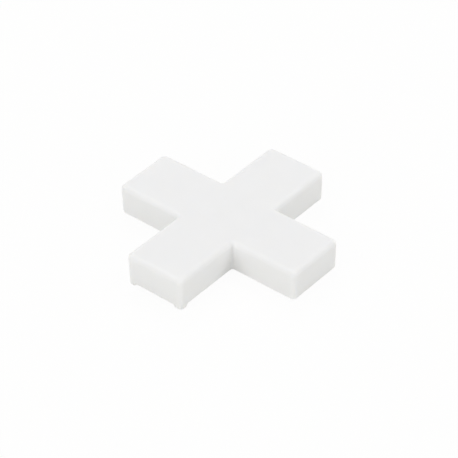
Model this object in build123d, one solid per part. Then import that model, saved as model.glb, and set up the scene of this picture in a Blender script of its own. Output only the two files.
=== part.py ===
from build123d import *
import os

# Cross-shaped spacer that stands in the joint where four tiles meet.
# It is one solid moulding, shown lying flat with its larger face up, so +Z points up.
# The origin is under the middle of the cross, at the level of its lowest points.
# All lengths are in millimetres and the angle is in degrees.

# The cross: the joint width is measured at the top face, where the walls are widest apart
joint_width = 10.0
overall_length = 32.2
thickness = 4.9
draft_angle = 1.5

# Rounded edges: uprights at the arm tips, uprights between two arms, top and bottom rims
tip_corner_radius = 0.8
inner_corner_radius = 0.3
top_rim_radius = 0.75
bottom_rim_radius = 0.3

# Two round nubs under the outer corners of the arm that points along -Y
nub_radius = 0.85
nub_inset = 0.55
nub_height = 0.45
nub_rim_radius = 0.4

# Levels that follow from the sizes above
underside_z = nub_height
top_z = underside_z + thickness
top_plane = Plane.XY.offset(top_z)


def cross_block(bottom_z):
    """Cross from the top level down to bottom_z, its walls leaning in towards the bottom."""
    with BuildPart() as block:
        with BuildSketch(Plane.XY.offset(bottom_z)) as outline:
            Rectangle(overall_length, joint_width)
            Rectangle(joint_width, overall_length)
            tip_corners = outline.vertices().group_by(SortBy.DISTANCE)[-1]
            fillet(tip_corners, tip_corner_radius)
            inner_corners = outline.vertices().group_by(SortBy.DISTANCE)[0]
            fillet(inner_corners, inner_corner_radius)
        extrude(amount=top_z - bottom_z)
        walls = block.faces().filter_by(Axis.Z, reverse=True)
        draft(walls, top_plane, -draft_angle)
    return block.part


def moulded_cross():
    """The cross itself, with softened top and bottom rims."""
    with BuildPart() as cross:
        add(cross_block(underside_z))
        fillet(cross.faces().sort_by(Axis.Z)[-1].edges(), top_rim_radius)
        fillet(cross.faces().sort_by(Axis.Z)[0].edges(), bottom_rim_radius)
    return cross.part


def corner_nub(side):
    """Nub at the -X (side = -1) or +X (side = 1) corner, flush with the walls above it."""
    center = (side * (joint_width / 2 - nub_inset), nub_inset - overall_length / 2)
    # The nub reaches up past the bottom rim, so that it grows out of the full section
    blank_height = nub_height + 2 * bottom_rim_radius
    with BuildPart() as nub:
        with Locations(center):
            Cylinder(nub_radius, blank_height, align=(Align.CENTER, Align.CENTER, Align.MIN))
        add(cross_block(0), mode=Mode.INTERSECT)
        fillet(nub.faces().sort_by(Axis.Z)[0].edges(), nub_rim_radius)
    return nub.part


with BuildPart() as spacer:
    add(moulded_cross())
    for side in (-1, 1):
        add(corner_nub(side))

os.makedirs("parts", exist_ok=True)
export_step(spacer.part, "parts/spacer.step")
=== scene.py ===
import math

import bpy
from mathutils import Matrix, Vector


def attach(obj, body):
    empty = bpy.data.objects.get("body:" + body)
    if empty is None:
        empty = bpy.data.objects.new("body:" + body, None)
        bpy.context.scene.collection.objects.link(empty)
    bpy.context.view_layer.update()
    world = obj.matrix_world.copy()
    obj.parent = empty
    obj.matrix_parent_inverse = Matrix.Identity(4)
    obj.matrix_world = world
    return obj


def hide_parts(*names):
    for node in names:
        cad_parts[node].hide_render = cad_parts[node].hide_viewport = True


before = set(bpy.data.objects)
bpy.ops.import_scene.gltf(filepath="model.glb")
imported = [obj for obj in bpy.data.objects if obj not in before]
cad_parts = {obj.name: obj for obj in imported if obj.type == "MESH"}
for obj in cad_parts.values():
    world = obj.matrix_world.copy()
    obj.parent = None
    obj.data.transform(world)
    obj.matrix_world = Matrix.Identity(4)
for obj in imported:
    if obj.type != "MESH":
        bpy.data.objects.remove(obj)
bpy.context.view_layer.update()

# Cross-shaped spacer for a 10 mm tile joint, one injection moulding in natural polyethylene.
# It lies with its larger face up: +Z is up and -Y runs along the arm that carries the two nubs.
# Lengths are in metres, written as millimetres times MM. Angles are in degrees.
MM = 0.001
JOINT_WIDTH = 10.0 * MM
OVERALL_LENGTH = 32.2 * MM
THICKNESS = 4.9 * MM
DRAFT_ANGLE = 1.5
TIP_CORNER_RADIUS = 0.8 * MM
INNER_CORNER_RADIUS = 0.3 * MM
TOP_RIM_RADIUS = 0.75 * MM
BOTTOM_RIM_RADIUS = 0.35 * MM
# A nub is narrowest at its foot, and its side leans by the side angle from upright
NUB_FOOT_RADIUS = 0.6 * MM
NUB_SIDE_ANGLE = 37.0
NUB_INSET = 0.55 * MM
NUB_HEIGHT = 0.45 * MM
NUB_RIM_RADIUS = 0.35 * MM
# Flat facets in each quarter round, and round a whole nub
ROUND_STEPS = 14
NUB_FACETS = 48
# A wall's section runs past each round by a twentieth of its radius, so that the flat faces start level
RUN_ON = 1.05
# A point this near to a level lies on it. Points this near to each other are made one, first
# within each block and then in the whole moulding
LEVEL_TOLERANCE = 0.01 * MM
BLOCK_WELD = 0.001 * MM
MOULDING_WELD = 0.002 * MM
# Edges that turn by more than this stay sharp in the shading
CREASE_ANGLE = 35.0

# The plastic: how far light sinks in, the clouds in the resin, and the grain of its skin, which is
# 0.05 mm across on the real skin and is drawn coarser so that it shows
SCATTER_DEPTH = 0.5 * MM
CLOUD_WIDTH = 4.0 * MM
GRAIN_WIDTH = 0.25 * MM
GRAIN_DEPTH = 0.02 * MM

# The photograph's camera: a square picture taken from about a third of a metre with a long lens
PHOTO_PIXELS = 458
FOCAL_PIXELS = 2444.5
SENSOR_WIDTH = 36.0
CAMERA_AZIMUTH = 40.13
CAMERA_ELEVATION = 38.83
CAMERA_ROLL = -0.85
CAMERA_DISTANCE = 350.0 * MM
AIM_RIGHT = 0.19 * MM
AIM_UP = 1.395 * MM
# The camera shows nothing that is nearer than this
CAMERA_CLIP = 10.0 * MM

# Light: an even white tent, and soft boxes given by name, azimuth, elevation and power in watts
TENT_STRENGTH = 0.405
SOFT_BOX_DISTANCE = 700.0 * MM
SOFT_BOX_SIZE = 500.0 * MM
SOFT_BOXES = [
    ("front soft box", 0, 15, 1.42),
    ("right soft box", 90, 15, 0.94),
    ("high front left soft box", -45, 50, 0.9),
    ("high back left soft box", -135, 50, 1.24),
    ("high back right soft box", 135, 50, 1.09),
]
# The white card under the part, and the share of its whiteness that is its own and takes no shadow
CARD_SIZE = 1200.0 * MM
CARD_OWN_WHITE = 0.94

# Kinds of socket on the shape trees
LENGTH = "NodeSocketFloat"
COUNT = "NodeSocketInt"
SHAPE = "NodeSocketGeometry"
FINISH = "NodeSocketMaterial"


def linear(hex_colour):
    """An sRGB hex colour as linear red, green and blue, with full alpha."""
    channels = []
    for start in (1, 3, 5):
        share = int(hex_colour[start:start + 2], 16) / 255
        channels.append(share / 12.92 if share <= 0.04045 else ((share + 0.055) / 1.055) ** 2.4)
    return (*channels, 1.0)


def direction(azimuth, elevation):
    """Unit vector from the part towards an azimuth, with 0 at the front, and an elevation."""
    turn, lift = math.radians(azimuth), math.radians(elevation)
    return Vector((math.sin(turn) * math.cos(lift), -math.cos(turn) * math.cos(lift), math.sin(lift)))


def add_node(tree, kind, inputs=None, **settings):
    """Add a node with its settings, and give each input a value, a link or a list of links.

    An input goes by its name, or by its number where a node has several inputs of one name."""
    made = tree.nodes.new(kind)
    for setting, value in settings.items():
        setattr(made, setting, value)
    for name, given in (inputs or {}).items():
        for value in given if isinstance(given, list) else [given]:
            if isinstance(value, bpy.types.Node):
                value = value.outputs[0]
            if isinstance(value, bpy.types.NodeSocket):
                tree.links.new(value, made.inputs[name])
            else:
                made.inputs[name].default_value = value
    return made


def shape_tree(name, **inputs):
    """A Geometry Nodes tree with named inputs, and the sockets that carry them inside."""
    tree = bpy.data.node_groups.new(name, "GeometryNodeTree")
    for label, kind in inputs.items():
        tree.interface.new_socket(label.replace("_", " "), in_out="INPUT", socket_type=kind)
    tree.interface.new_socket("Geometry", in_out="OUTPUT", socket_type=SHAPE)
    return tree, tree.nodes.new("NodeGroupInput").outputs


def cross_outline_tree():
    """Outline of the cross from above: nine squares without the corner ones, stretched to the
    arms' sides and tips, with the corners of their border rounded."""
    tree, given = shape_tree("cross outline", half_width=LENGTH, half_length=LENGTH,
                             tip_corner_radius=LENGTH, inner_corner_radius=LENGTH, round_steps=COUNT)
    squares = add_node(tree, "GeometryNodeMeshGrid", {
        "Size X": 3.0,
        "Size Y": 3.0,
        "Vertices X": 4,
        "Vertices Y": 4,
    })
    place = add_node(tree, "GeometryNodeInputPosition")
    from_middle = add_node(tree, "ShaderNodeVectorMath", {0: place}, operation="LENGTH").outputs["Value"]
    # The squares' centres lie 0 or 1 from the middle, and those of the corner squares lie 1.41 from it
    is_corner = add_node(tree, "FunctionNodeCompare", {0: from_middle, 1: 1.2}, operation="GREATER_THAN")
    arms = add_node(tree, "GeometryNodeDeleteGeometry", {"Geometry": squares, "Selection": is_corner},
                    domain="FACE")
    # The squares' lines, 0.5 and 1.5 from the middle, go to the half width and the half length
    far = add_node(tree, "ShaderNodeVectorMath", {0: place}, operation="ABSOLUTE")
    side = add_node(tree, "ShaderNodeVectorMath", {0: place}, operation="SIGN")
    reach = add_node(tree, "ShaderNodeMapRange", {
        6: far,
        7: (0.5, 0.5, 0.5),
        8: (1.5, 1.5, 1.5),
        9: given["half width"],
        10: given["half length"],
    }, data_type="FLOAT_VECTOR").outputs["Vector"]
    corner = add_node(tree, "ShaderNodeVectorMath", {0: reach, 1: side}, operation="MULTIPLY")
    arms = add_node(tree, "GeometryNodeSetPosition", {"Geometry": arms, "Position": corner})
    beside = add_node(tree, "GeometryNodeInputMeshEdgeNeighbors")
    is_border = add_node(tree, "FunctionNodeCompare", {2: beside, 3: 1},
                         data_type="INT", operation="EQUAL")
    outline = add_node(tree, "GeometryNodeMeshToCurve", {"Mesh": arms, "Selection": is_border})
    is_inner = add_node(tree, "FunctionNodeCompare", {0: from_middle, 1: given["half length"]},
                        operation="LESS_THAN")
    radius = add_node(tree, "GeometryNodeSwitch", {
        "Switch": is_inner,
        "False": given["tip corner radius"],
        "True": given["inner corner radius"],
    }, input_type="FLOAT")
    outline = add_node(tree, "GeometryNodeFilletCurve",
                       {"Curve": outline, "Radius": radius, "Count": given["round steps"]}, mode="POLY")
    # Turned to run counter-clockwise, as a circle does
    outline = add_node(tree, "GeometryNodeReverseCurve", {"Curve": outline})
    add_node(tree, "NodeGroupOutput", {"Geometry": outline})
    return tree


def moulded_block_tree():
    """Block between two levels: the section of its wall, with a rounded foot and top rim, is swept
    along an outline and leans in by the foot inset, and flat faces close both ends."""
    tree, given = shape_tree("moulded block", outline=SHAPE, foot_level=LENGTH, top_level=LENGTH,
                             foot_inset=LENGTH, foot_rim_radius=LENGTH, top_rim_radius=LENGTH,
                             round_steps=COUNT)
    foot_end = add_node(tree, "ShaderNodeMath", {
        0: given["foot rim radius"],
        1: RUN_ON,
        2: given["foot inset"],
    }, operation="MULTIPLY_ADD")
    top_end = add_node(tree, "ShaderNodeMath", {0: given["top rim radius"], 1: RUN_ON},
                       operation="MULTIPLY")
    corners = (
        (foot_end, given["foot level"]),
        (given["foot inset"], given["foot level"]),
        (0.0, given["top level"]),
        (top_end, given["top level"]),
    )
    points = {}
    for number, (inset, level) in enumerate(corners, 1):
        point = add_node(tree, "ShaderNodeCombineXYZ", {"X": inset, "Y": level})
        # The sweep takes the section's X as outwards and its Y as downwards, so it is turned about
        points[f"Point {number}"] = add_node(tree, "ShaderNodeVectorMath", {0: point, "Scale": -1.0},
                                             operation="SCALE")
    section = add_node(tree, "GeometryNodeCurvePrimitiveQuadrilateral", points, mode="POINTS")
    section = add_node(tree, "GeometryNodeSetSplineCyclic", {"Geometry": section, "Cyclic": False})
    index = add_node(tree, "GeometryNodeInputIndex")
    at_foot = add_node(tree, "FunctionNodeCompare", {2: index, 3: 2},
                       data_type="INT", operation="LESS_THAN")
    radius = add_node(tree, "GeometryNodeSwitch", {
        "Switch": at_foot,
        "False": given["top rim radius"],
        "True": given["foot rim radius"],
    }, input_type="FLOAT")
    section = add_node(tree, "GeometryNodeFilletCurve",
                       {"Curve": section, "Radius": radius, "Count": given["round steps"]}, mode="POLY")
    wall = add_node(tree, "GeometryNodeCurveToMesh",
                    {"Curve": given["outline"], "Profile Curve": section})
    wall = add_node(tree, "GeometryNodeFlipFaces", {"Mesh": wall})
    beside = add_node(tree, "GeometryNodeInputMeshEdgeNeighbors")
    is_open = add_node(tree, "FunctionNodeCompare", {2: beside, 3: 1},
                       data_type="INT", operation="EQUAL")
    place = add_node(tree, "GeometryNodeInputPosition")
    height = add_node(tree, "ShaderNodeSeparateXYZ", {0: place}).outputs["Z"]
    ends = []
    for level in (given["foot level"], given["top level"]):
        at_level = add_node(tree, "FunctionNodeCompare", {0: height, 1: level, "Epsilon": LEVEL_TOLERANCE},
                            operation="EQUAL")
        is_end = add_node(tree, "FunctionNodeBooleanMath", {0: is_open, 1: at_level}, operation="AND")
        ring = add_node(tree, "GeometryNodeMeshToCurve", {"Mesh": wall, "Selection": is_end})
        flat = add_node(tree, "GeometryNodeFillCurve", {"Curve": ring}, mode="NGONS")
        lift = add_node(tree, "ShaderNodeCombineXYZ", {"Z": level})
        ends.append(add_node(tree, "GeometryNodeSetPosition", {"Geometry": flat, "Offset": lift}))
    # A filled curve faces up, and the foot has to face down
    foot = add_node(tree, "GeometryNodeFlipFaces", {"Mesh": ends[0]})
    block = add_node(tree, "GeometryNodeJoinGeometry", {"Geometry": [wall, foot, ends[1]]})
    block = add_node(tree, "GeometryNodeMergeByDistance", {"Geometry": block, "Distance": BLOCK_WELD})
    add_node(tree, "NodeGroupOutput", {"Geometry": block})
    return tree


def spacer_tree():
    """The whole moulding: the cross, joined by two round nubs that are cut flush with its walls."""
    tree, given = shape_tree("moulded spacer", half_width=LENGTH, half_length=LENGTH, thickness=LENGTH,
                             wall_lean=LENGTH, tip_corner_radius=LENGTH, inner_corner_radius=LENGTH,
                             top_rim_radius=LENGTH, bottom_rim_radius=LENGTH, nub_foot_radius=LENGTH,
                             nub_lean=LENGTH, nub_inset=LENGTH, nub_height=LENGTH,
                             nub_rim_radius=LENGTH, round_steps=COUNT, plastic=FINISH)
    outline_sizes = ("half width", "half length", "tip corner radius", "inner corner radius", "round steps")
    outline = add_node(tree, "GeometryNodeGroup", {name: given[name] for name in outline_sizes},
                       node_tree=cross_outline_tree())
    top = add_node(tree, "ShaderNodeMath", {0: given["nub height"], 1: given["thickness"]},
                   operation="ADD")
    inset = add_node(tree, "ShaderNodeMath", {0: given["thickness"], 1: given["wall lean"]},
                     operation="MULTIPLY")
    deep_inset = add_node(tree, "ShaderNodeMath", {0: top, 1: given["wall lean"]}, operation="MULTIPLY")
    # A peg reaches up to where the bottom rim's round ends on the wall, and is widest there
    peg_top = add_node(tree, "ShaderNodeMath", {0: given["nub height"], 1: given["bottom rim radius"]},
                       operation="ADD")
    peg_inset = add_node(tree, "ShaderNodeMath", {0: peg_top, 1: given["nub lean"]}, operation="MULTIPLY")
    peg_radius = add_node(tree, "ShaderNodeMath", {0: given["nub foot radius"], 1: peg_inset},
                          operation="ADD")
    circle = add_node(tree, "GeometryNodeCurvePrimitiveCircle",
                      {"Resolution": NUB_FACETS, "Radius": peg_radius})
    # The cross, the same cross run down to the nubs' feet, and a peg
    block_sizes = (
        (outline, given["nub height"], top, inset, given["bottom rim radius"], given["top rim radius"]),
        (outline, 0.0, top, deep_inset, given["nub rim radius"], given["top rim radius"]),
        (circle, 0.0, peg_top, peg_inset, given["nub rim radius"], 0.0),
    )
    block_tree = moulded_block_tree()
    blocks = []
    for shape, foot, head, lean, foot_rim, top_rim in block_sizes:
        blocks.append(add_node(tree, "GeometryNodeGroup", {
            "outline": shape,
            "foot level": foot,
            "top level": head,
            "foot inset": lean,
            "foot rim radius": foot_rim,
            "top rim radius": top_rim,
            "round steps": given["round steps"],
        }, node_tree=block_tree))
    cross, deep_cross, peg = blocks
    nub_x = add_node(tree, "ShaderNodeMath", {0: given["half width"], 1: given["nub inset"]},
                     operation="SUBTRACT")
    nub_y = add_node(tree, "ShaderNodeMath", {0: given["nub inset"], 1: given["half length"]},
                     operation="SUBTRACT")
    apart = add_node(tree, "ShaderNodeMath", {0: nub_x, 1: -2.0}, operation="MULTIPLY")
    first = add_node(tree, "ShaderNodeCombineXYZ", {"X": nub_x, "Y": nub_y})
    step = add_node(tree, "ShaderNodeCombineXYZ", {"X": apart})
    places = add_node(tree, "GeometryNodeMeshLine",
                      {"Count": 2, "Start Location": first, "Offset": step})
    pegs = add_node(tree, "GeometryNodeInstanceOnPoints", {"Points": places, "Instance": peg})
    pegs = add_node(tree, "GeometryNodeRealizeInstances", {"Geometry": pegs})
    nubs = add_node(tree, "GeometryNodeMeshBoolean", {"Mesh 2": [pegs, deep_cross]},
                    operation="INTERSECT", solver="MANIFOLD")
    moulding = add_node(tree, "GeometryNodeMeshBoolean", {"Mesh 2": [cross, nubs]},
                        operation="UNION", solver="MANIFOLD")
    moulding = add_node(tree, "GeometryNodeMergeByDistance",
                        {"Geometry": moulding, "Distance": MOULDING_WELD})
    moulding = add_node(tree, "GeometryNodeSetShadeSmooth", {"Geometry": moulding, "Shade Smooth": True})
    moulding = add_node(tree, "GeometryNodeRealizeInstances", {"Geometry": moulding})
    moulding = add_node(tree, "GeometryNodeSetMaterial",
                        {"Geometry": moulding, "Material": given["plastic"]})
    add_node(tree, "NodeGroupOutput", {"Geometry": moulding})
    return tree


def natural_polyethylene():
    """Natural polyethylene, injection moulded in a finely spark-eroded steel cavity.

    The resin has no pigment. It is milky white all through, light sinks in a little way and
    comes out again, and the grain of the steel gives its skin a satin face."""
    material = bpy.data.materials.new("moulded natural polyethylene")
    material.use_nodes = True
    tree = material.node_tree
    skin = tree.nodes["Principled BSDF"]
    place = add_node(tree, "ShaderNodeTexCoord").outputs["Object"]
    # Flow of the melt: slight clouds of more and less milky resin
    clouds = add_node(tree, "ShaderNodeTexNoise",
                      {"Vector": place, "Scale": 1 / CLOUD_WIDTH, "Detail": 2.0})
    milk = add_node(tree, "ShaderNodeValToRGB", {"Fac": clouds})
    milk.color_ramp.elements[0].position = 0.3
    milk.color_ramp.elements[0].color = linear("#F0F0F0")
    milk.color_ramp.elements[1].position = 0.7
    milk.color_ramp.elements[1].color = linear("#F1F1F1")
    tree.links.new(milk.outputs["Color"], skin.inputs["Base Color"])
    # Grain of the steel, too fine to show at its real width and so drawn five times as wide
    grain = add_node(tree, "ShaderNodeTexNoise",
                     {"Vector": place, "Scale": 1 / GRAIN_WIDTH, "Detail": 3.0})
    relief = add_node(tree, "ShaderNodeBump",
                      {"Height": grain, "Strength": 0.15, "Distance": GRAIN_DEPTH})
    tree.links.new(relief.outputs["Normal"], skin.inputs["Normal"])
    skin.subsurface_method = "RANDOM_WALK"
    skin.inputs["Subsurface Weight"].default_value = 1.0
    skin.inputs["Subsurface Radius"].default_value = (1.0, 0.98, 0.94)
    skin.inputs["Subsurface Scale"].default_value = SCATTER_DEPTH
    skin.inputs["Roughness"].default_value = 0.7
    skin.inputs["IOR"].default_value = 1.51
    return material


def make_plain_mesh(piece):
    """Give a piece the mesh that its modifiers make, and remove them."""
    graph = bpy.context.evaluated_depsgraph_get()
    mesh = bpy.data.meshes.new_from_object(piece.evaluated_get(graph), depsgraph=graph)
    piece.modifiers.clear()
    piece.data = mesh


def make_spacer():
    """The visible moulding, which takes the place of the plain solid."""
    piece = bpy.data.objects.new("moulded_cross", bpy.data.meshes.new("moulded cross"))
    bpy.context.scene.collection.objects.link(piece)
    moulding = piece.modifiers.new("moulding", "NODES")
    moulding.node_group = spacer_tree()
    sizes = {
        "half width": JOINT_WIDTH / 2,
        "half length": OVERALL_LENGTH / 2,
        "thickness": THICKNESS,
        "wall lean": math.tan(math.radians(DRAFT_ANGLE)),
        "tip corner radius": TIP_CORNER_RADIUS,
        "inner corner radius": INNER_CORNER_RADIUS,
        "top rim radius": TOP_RIM_RADIUS,
        "bottom rim radius": BOTTOM_RIM_RADIUS,
        "nub foot radius": NUB_FOOT_RADIUS,
        "nub lean": math.tan(math.radians(NUB_SIDE_ANGLE)),
        "nub inset": NUB_INSET,
        "nub height": NUB_HEIGHT,
        "nub rim radius": NUB_RIM_RADIUS,
        "round steps": ROUND_STEPS,
        "plastic": natural_polyethylene(),
    }
    for socket in moulding.node_group.interface.items_tree:
        if socket.in_out == "INPUT":
            moulding[socket.identifier] = sizes[socket.name]
    make_plain_mesh(piece)
    # The flat faces shade flat right up to the rounds, and the creases round the nubs stay sharp
    piece.data.set_sharp_from_angle(angle=math.radians(CREASE_ANGLE))
    shading = piece.modifiers.new("flat faces", "WEIGHTED_NORMAL")
    shading.keep_sharp = True
    make_plain_mesh(piece)
    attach(piece, "root")
    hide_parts("spacer")


def make_camera():
    """The camera that stands where the photograph was taken from."""
    back = direction(CAMERA_AZIMUTH, CAMERA_ELEVATION)
    turn = math.radians(CAMERA_AZIMUTH)
    level = Vector((math.cos(turn), math.sin(turn), 0.0))
    roll = Matrix.Rotation(math.radians(CAMERA_ROLL), 3, back)
    right, up = roll @ level, roll @ back.cross(level)
    aim = Vector((0.0, 0.0, NUB_HEIGHT)) + right * AIM_RIGHT + up * AIM_UP
    lens = bpy.data.cameras.new("photo camera")
    lens.sensor_width = SENSOR_WIDTH
    lens.lens = SENSOR_WIDTH * FOCAL_PIXELS / PHOTO_PIXELS
    lens.clip_start = CAMERA_CLIP
    camera = bpy.data.objects.new("photo camera", lens)
    turned = Matrix((right, up, back)).transposed().to_4x4()
    camera.matrix_world = Matrix.Translation(aim + back * CAMERA_DISTANCE) @ turned
    bpy.context.scene.collection.objects.link(camera)
    bpy.context.scene.camera = camera


def seen_directly(tree):
    """1 for what the camera, a mirror image or a view through glass shows, and 0 for other light."""
    path = add_node(tree, "ShaderNodeLightPath").outputs
    mirrored = add_node(tree, "ShaderNodeMath", {0: path["Is Camera Ray"], 1: path["Is Glossy Ray"]},
                        operation="MAXIMUM")
    return add_node(tree, "ShaderNodeMath", {0: mirrored, 1: path["Is Transmission Ray"]},
                    operation="MAXIMUM")


def white_card():
    """Matt white card, a little warm. Most of the white that is seen is its own, as on a card that
    is lit from behind, so the part's shadow on it is faint."""
    material = bpy.data.materials.new("matt white card")
    material.use_nodes = True
    tree = material.node_tree
    tree.nodes.remove(tree.nodes["Principled BSDF"])
    matt = add_node(tree, "ShaderNodeBsdfDiffuse", {"Color": linear("#F6F6F2")})
    own = add_node(tree, "ShaderNodeEmission", {"Color": linear("#FFFFFF"), "Strength": 1.0})
    share = add_node(tree, "ShaderNodeMath", {0: seen_directly(tree), 1: CARD_OWN_WHITE},
                     operation="MULTIPLY")
    surface = add_node(tree, "ShaderNodeMixShader", {0: share, 1: matt, 2: own})
    tree.links.new(surface.outputs[0], tree.nodes["Material Output"].inputs["Surface"])
    return material


def make_floor():
    """White card under the part. The part stands on its two nubs and on the far arm's bottom rim,
    so in the part's own frame the card slopes by under a degree."""
    # The round at a nub's foot turns by what its side lacks to lie flat, and takes this much of the foot
    foot_round = NUB_RIM_RADIUS * math.tan(math.radians(90 - NUB_SIDE_ANGLE) / 2)
    nub_foot = NUB_INSET + NUB_FOOT_RADIUS - foot_round - OVERALL_LENGTH / 2
    far_foot = OVERALL_LENGTH / 2 - THICKNESS * math.tan(math.radians(DRAFT_ANGLE)) - BOTTOM_RIM_RADIUS
    slope = NUB_HEIGHT / (far_foot - nub_foot)
    half = CARD_SIZE / 2
    corners = [(x, y, (y - nub_foot) * slope)
               for x, y in ((-half, -half), (half, -half), (half, half), (-half, half))]
    mesh = bpy.data.meshes.new("floor")
    mesh.from_pydata(corners, [], [(0, 1, 2, 3)])
    mesh.materials.append(white_card())
    floor = bpy.data.objects.new("floor", mesh)
    bpy.context.scene.collection.objects.link(floor)


def add_soft_box(name, azimuth, elevation, power):
    """A square soft box that looks at the part."""
    towards = direction(azimuth, elevation)
    light = bpy.data.lights.new(name, "AREA")
    light.size = SOFT_BOX_SIZE
    light.energy = power
    box = bpy.data.objects.new(name, light)
    box.location = towards * SOFT_BOX_DISTANCE
    box.rotation_euler = towards.to_track_quat("Z", "Y").to_euler()
    bpy.context.scene.collection.objects.link(box)


def make_light_tent():
    """Even light from all around. The tent itself is seen as plain white."""
    world = bpy.data.worlds.new("light tent")
    bpy.context.scene.world = world
    world.use_nodes = True
    tree = world.node_tree
    cloth = tree.nodes["Background"]
    cloth.inputs["Color"].default_value = linear("#FFFFFF")
    cloth.inputs["Strength"].default_value = TENT_STRENGTH
    white = add_node(tree, "ShaderNodeBackground", {"Color": linear("#FFFFFF"), "Strength": 1.0})
    shown = add_node(tree, "ShaderNodeMixShader", {0: seen_directly(tree), 1: cloth, 2: white})
    tree.links.new(shown.outputs[0], tree.nodes["World Output"].inputs["Surface"])


bpy.context.scene.view_settings.view_transform = "Standard"
make_camera()
make_light_tent()
for soft_box in SOFT_BOXES:
    add_soft_box(*soft_box)
make_floor()
make_spacer()
